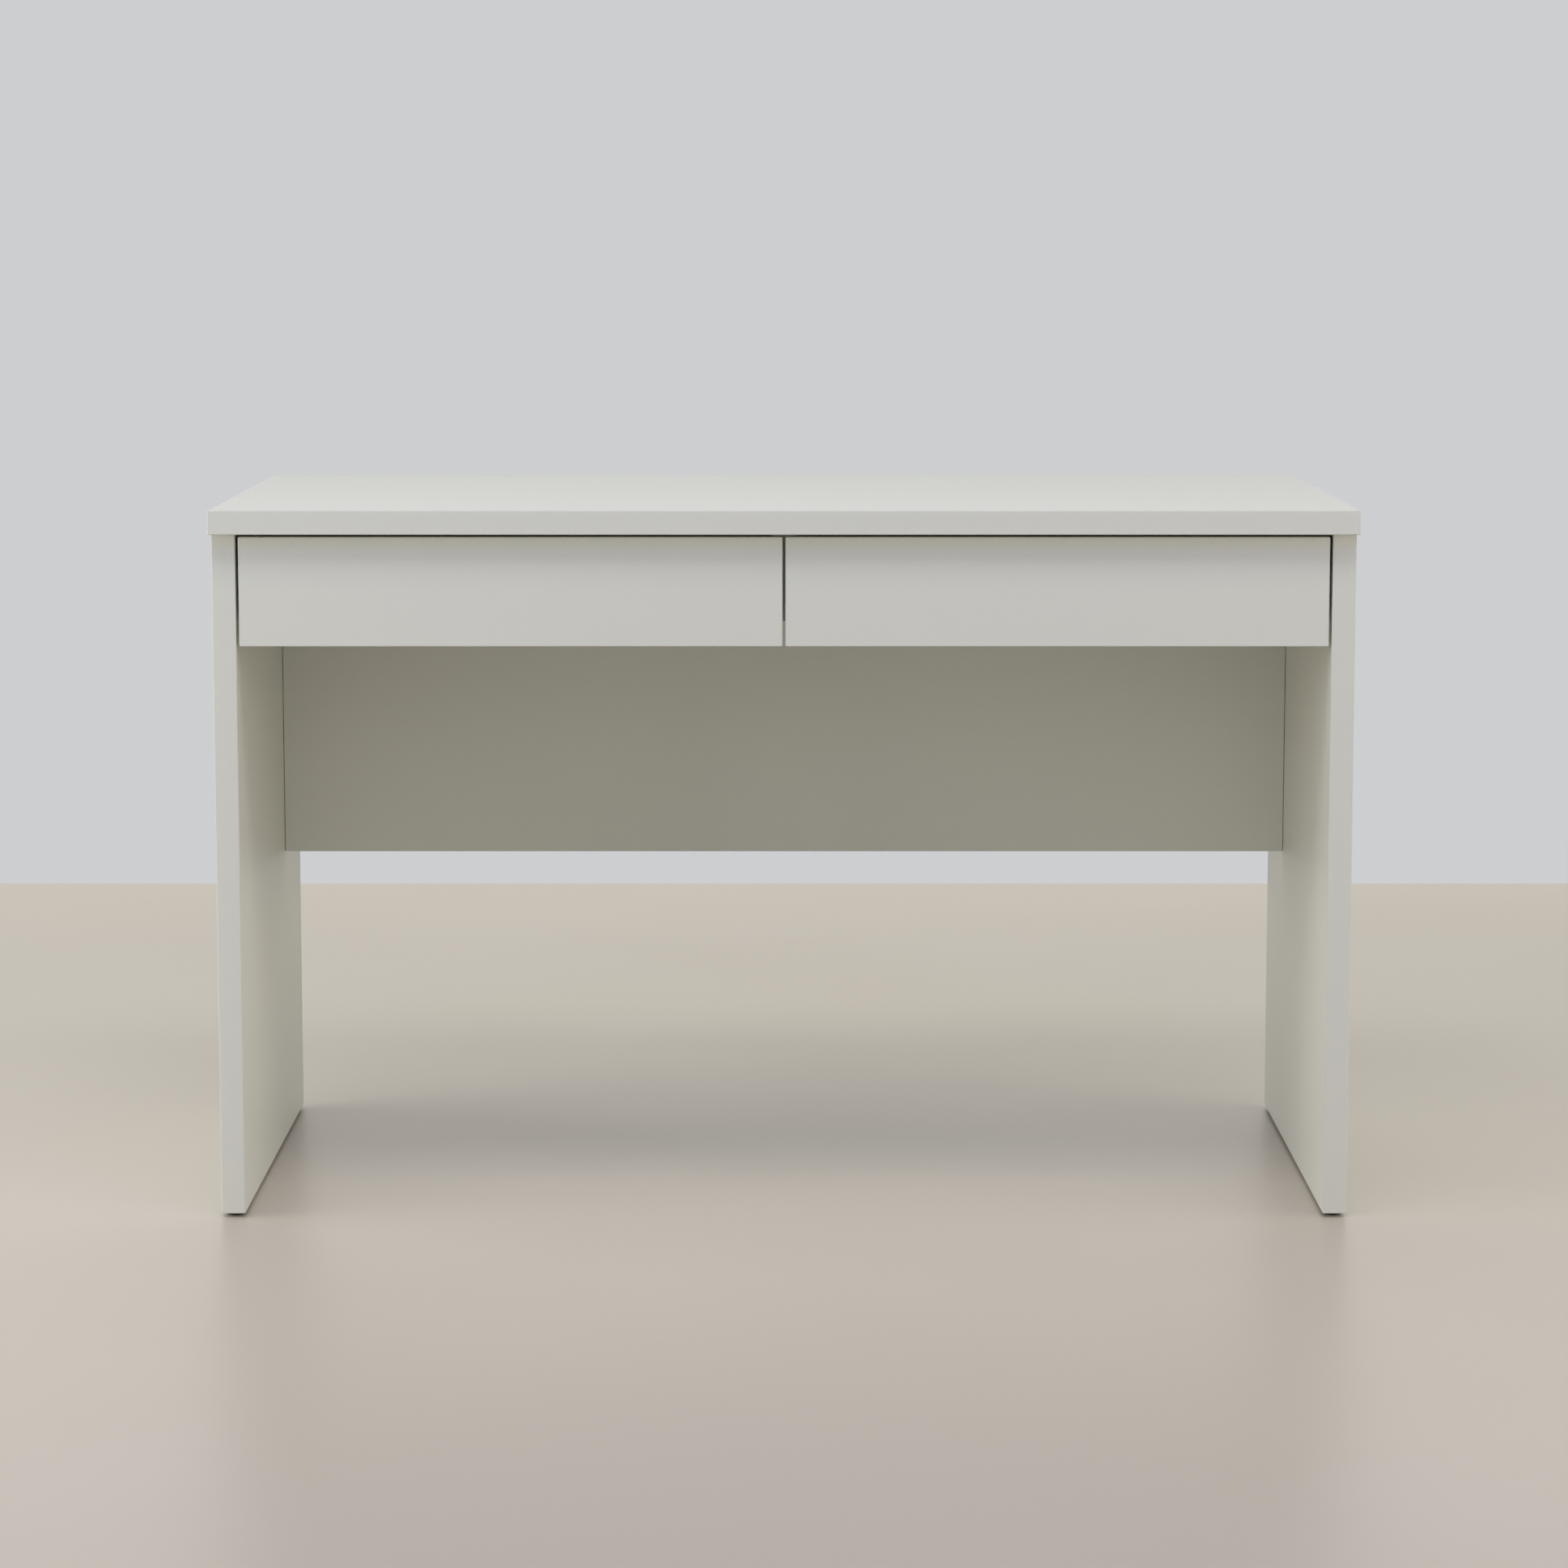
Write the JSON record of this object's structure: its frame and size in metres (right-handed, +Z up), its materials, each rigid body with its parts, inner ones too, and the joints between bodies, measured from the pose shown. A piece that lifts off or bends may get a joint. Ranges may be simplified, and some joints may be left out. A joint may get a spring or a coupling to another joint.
{
  "type": "writing desk with drawers",
  "caption": "Flat-pack writing desk with slab sides, a recessed modesty panel and shallow handleless drawers side by side on telescopic ball slides.",
  "frame": {"origin": "on the floor, under the middle of the desktop", "axes": "+X to the right for someone sitting at the desk, +Y from the sitter to the back edge, +Z up; the drawers open towards -Y"},
  "size_m": [1.2, 0.6, 0.754],
  "materials": {
    "white_melamine": "melamine-faced board with matching edge band, matt warm white",
    "drawer_foil": "foil-wrapped drawer board, matt warm white",
    "white_hardboard": "white-faced hardboard",
    "zinc_plated_steel": "roll-formed steel strip, bright zinc plated",
    "ball_cage_steel": "thin pressed steel strip",
    "white_coated_steel": "powder coated warm white",
    "die_cast_zinc": "die-cast zinc and plated steel fixings",
    "dark_plastic": "moulded dark plastic glide"
  },
  "bodies": {
    "root": {"desktop": "white_melamine", "side_panel_left": "white_melamine", "side_panel_right": "white_melamine", "modesty_panel": "white_melamine", "centre_divider": "white_melamine", "glide_front_left": "dark_plastic", "desktop_front_left_cam": "die_cast_zinc", "desktop_front_left_bolt": "die_cast_zinc", "glide_front_right": "dark_plastic", "desktop_front_right_cam": "die_cast_zinc", "desktop_front_right_bolt": "die_cast_zinc", "glide_back_left": "dark_plastic", "desktop_back_left_cam": "die_cast_zinc", "desktop_back_left_bolt": "die_cast_zinc", "glide_back_right": "dark_plastic", "desktop_back_right_cam": "die_cast_zinc", "desktop_back_right_bolt": "die_cast_zinc", "divider_screw_upper": "die_cast_zinc", "modesty_upper_left_cam": "die_cast_zinc", "modesty_upper_left_bolt": "die_cast_zinc", "modesty_upper_right_cam": "die_cast_zinc", "modesty_upper_right_bolt": "die_cast_zinc", "divider_screw_lower": "die_cast_zinc", "modesty_lower_left_cam": "die_cast_zinc", "modesty_lower_left_bolt": "die_cast_zinc", "modesty_lower_right_cam": "die_cast_zinc", "modesty_lower_right_bolt": "die_cast_zinc", "divider_bracket_left": "white_coated_steel", "divider_bracket_right": "white_coated_steel", "left_drawer_left_slide_cabinet_rail": "zinc_plated_steel", "left_drawer_right_slide_cabinet_rail": "zinc_plated_steel", "right_drawer_left_slide_cabinet_rail": "zinc_plated_steel", "right_drawer_right_slide_cabinet_rail": "zinc_plated_steel"},
    "left_drawer": {"left_drawer_front": "white_melamine", "left_drawer_left_side": "drawer_foil", "left_drawer_right_side": "drawer_foil", "left_drawer_back": "drawer_foil", "left_drawer_bottom": "white_hardboard", "left_drawer_left_slide_drawer_rail": "zinc_plated_steel", "left_drawer_right_slide_drawer_rail": "zinc_plated_steel"},
    "right_drawer": {"right_drawer_front": "white_melamine", "right_drawer_left_side": "drawer_foil", "right_drawer_right_side": "drawer_foil", "right_drawer_back": "drawer_foil", "right_drawer_bottom": "white_hardboard", "right_drawer_left_slide_drawer_rail": "zinc_plated_steel", "right_drawer_right_slide_drawer_rail": "zinc_plated_steel"},
    "left_drawer_left_slide_middle_rail": {"left_drawer_left_slide_middle_rail": "zinc_plated_steel"},
    "left_drawer_left_slide_outer_ball_cage": {"left_drawer_left_slide_outer_ball_cage": "ball_cage_steel"},
    "left_drawer_left_slide_inner_ball_cage": {"left_drawer_left_slide_inner_ball_cage": "ball_cage_steel"},
    "left_drawer_right_slide_middle_rail": {"left_drawer_right_slide_middle_rail": "zinc_plated_steel"},
    "left_drawer_right_slide_outer_ball_cage": {"left_drawer_right_slide_outer_ball_cage": "ball_cage_steel"},
    "left_drawer_right_slide_inner_ball_cage": {"left_drawer_right_slide_inner_ball_cage": "ball_cage_steel"},
    "right_drawer_left_slide_middle_rail": {"right_drawer_left_slide_middle_rail": "zinc_plated_steel"},
    "right_drawer_left_slide_outer_ball_cage": {"right_drawer_left_slide_outer_ball_cage": "ball_cage_steel"},
    "right_drawer_left_slide_inner_ball_cage": {"right_drawer_left_slide_inner_ball_cage": "ball_cage_steel"},
    "right_drawer_right_slide_middle_rail": {"right_drawer_right_slide_middle_rail": "zinc_plated_steel"},
    "right_drawer_right_slide_outer_ball_cage": {"right_drawer_right_slide_outer_ball_cage": "ball_cage_steel"},
    "right_drawer_right_slide_inner_ball_cage": {"right_drawer_right_slide_inner_ball_cage": "ball_cage_steel"}
  },
  "joints": [
    {"name": "left_drawer_slide", "type": "slide", "parent": "root", "child": "left_drawer", "axis": [0, -1, 0], "range_m": [0, 0.38]},
    {"name": "left_drawer_left_slide_middle_rail_travel", "type": "slide", "parent": "root", "child": "left_drawer_left_slide_middle_rail", "axis": [0, -1, 0], "range_m": [0, 0.19]},
    {"name": "left_drawer_left_slide_outer_ball_cage_travel", "type": "slide", "parent": "root", "child": "left_drawer_left_slide_outer_ball_cage", "axis": [0, -1, 0], "range_m": [0, 0.095]},
    {"name": "left_drawer_left_slide_inner_ball_cage_travel", "type": "slide", "parent": "root", "child": "left_drawer_left_slide_inner_ball_cage", "axis": [0, -1, 0], "range_m": [0, 0.285]},
    {"name": "left_drawer_right_slide_middle_rail_travel", "type": "slide", "parent": "root", "child": "left_drawer_right_slide_middle_rail", "axis": [0, -1, 0], "range_m": [0, 0.19]},
    {"name": "left_drawer_right_slide_outer_ball_cage_travel", "type": "slide", "parent": "root", "child": "left_drawer_right_slide_outer_ball_cage", "axis": [0, -1, 0], "range_m": [0, 0.095]},
    {"name": "left_drawer_right_slide_inner_ball_cage_travel", "type": "slide", "parent": "root", "child": "left_drawer_right_slide_inner_ball_cage", "axis": [0, -1, 0], "range_m": [0, 0.285]},
    {"name": "right_drawer_slide", "type": "slide", "parent": "root", "child": "right_drawer", "axis": [0, -1, 0], "range_m": [0, 0.38]},
    {"name": "right_drawer_left_slide_middle_rail_travel", "type": "slide", "parent": "root", "child": "right_drawer_left_slide_middle_rail", "axis": [0, -1, 0], "range_m": [0, 0.19]},
    {"name": "right_drawer_left_slide_outer_ball_cage_travel", "type": "slide", "parent": "root", "child": "right_drawer_left_slide_outer_ball_cage", "axis": [0, -1, 0], "range_m": [0, 0.095]},
    {"name": "right_drawer_left_slide_inner_ball_cage_travel", "type": "slide", "parent": "root", "child": "right_drawer_left_slide_inner_ball_cage", "axis": [0, -1, 0], "range_m": [0, 0.285]},
    {"name": "right_drawer_right_slide_middle_rail_travel", "type": "slide", "parent": "root", "child": "right_drawer_right_slide_middle_rail", "axis": [0, -1, 0], "range_m": [0, 0.19]},
    {"name": "right_drawer_right_slide_outer_ball_cage_travel", "type": "slide", "parent": "root", "child": "right_drawer_right_slide_outer_ball_cage", "axis": [0, -1, 0], "range_m": [0, 0.095]},
    {"name": "right_drawer_right_slide_inner_ball_cage_travel", "type": "slide", "parent": "root", "child": "right_drawer_right_slide_inner_ball_cage", "axis": [0, -1, 0], "range_m": [0, 0.285]}
  ],
  "couplings": [
    {"joint": "left_drawer_left_slide_middle_rail_travel", "follows": "left_drawer_slide", "ratio": 0.5},
    {"joint": "left_drawer_left_slide_outer_ball_cage_travel", "follows": "left_drawer_slide", "ratio": 0.25},
    {"joint": "left_drawer_left_slide_inner_ball_cage_travel", "follows": "left_drawer_slide", "ratio": 0.75},
    {"joint": "left_drawer_right_slide_middle_rail_travel", "follows": "left_drawer_slide", "ratio": 0.5},
    {"joint": "left_drawer_right_slide_outer_ball_cage_travel", "follows": "left_drawer_slide", "ratio": 0.25},
    {"joint": "left_drawer_right_slide_inner_ball_cage_travel", "follows": "left_drawer_slide", "ratio": 0.75},
    {"joint": "right_drawer_left_slide_middle_rail_travel", "follows": "right_drawer_slide", "ratio": 0.5},
    {"joint": "right_drawer_left_slide_outer_ball_cage_travel", "follows": "right_drawer_slide", "ratio": 0.25},
    {"joint": "right_drawer_left_slide_inner_ball_cage_travel", "follows": "right_drawer_slide", "ratio": 0.75},
    {"joint": "right_drawer_right_slide_middle_rail_travel", "follows": "right_drawer_slide", "ratio": 0.5},
    {"joint": "right_drawer_right_slide_outer_ball_cage_travel", "follows": "right_drawer_slide", "ratio": 0.25},
    {"joint": "right_drawer_right_slide_inner_ball_cage_travel", "follows": "right_drawer_slide", "ratio": 0.75}
  ]
}
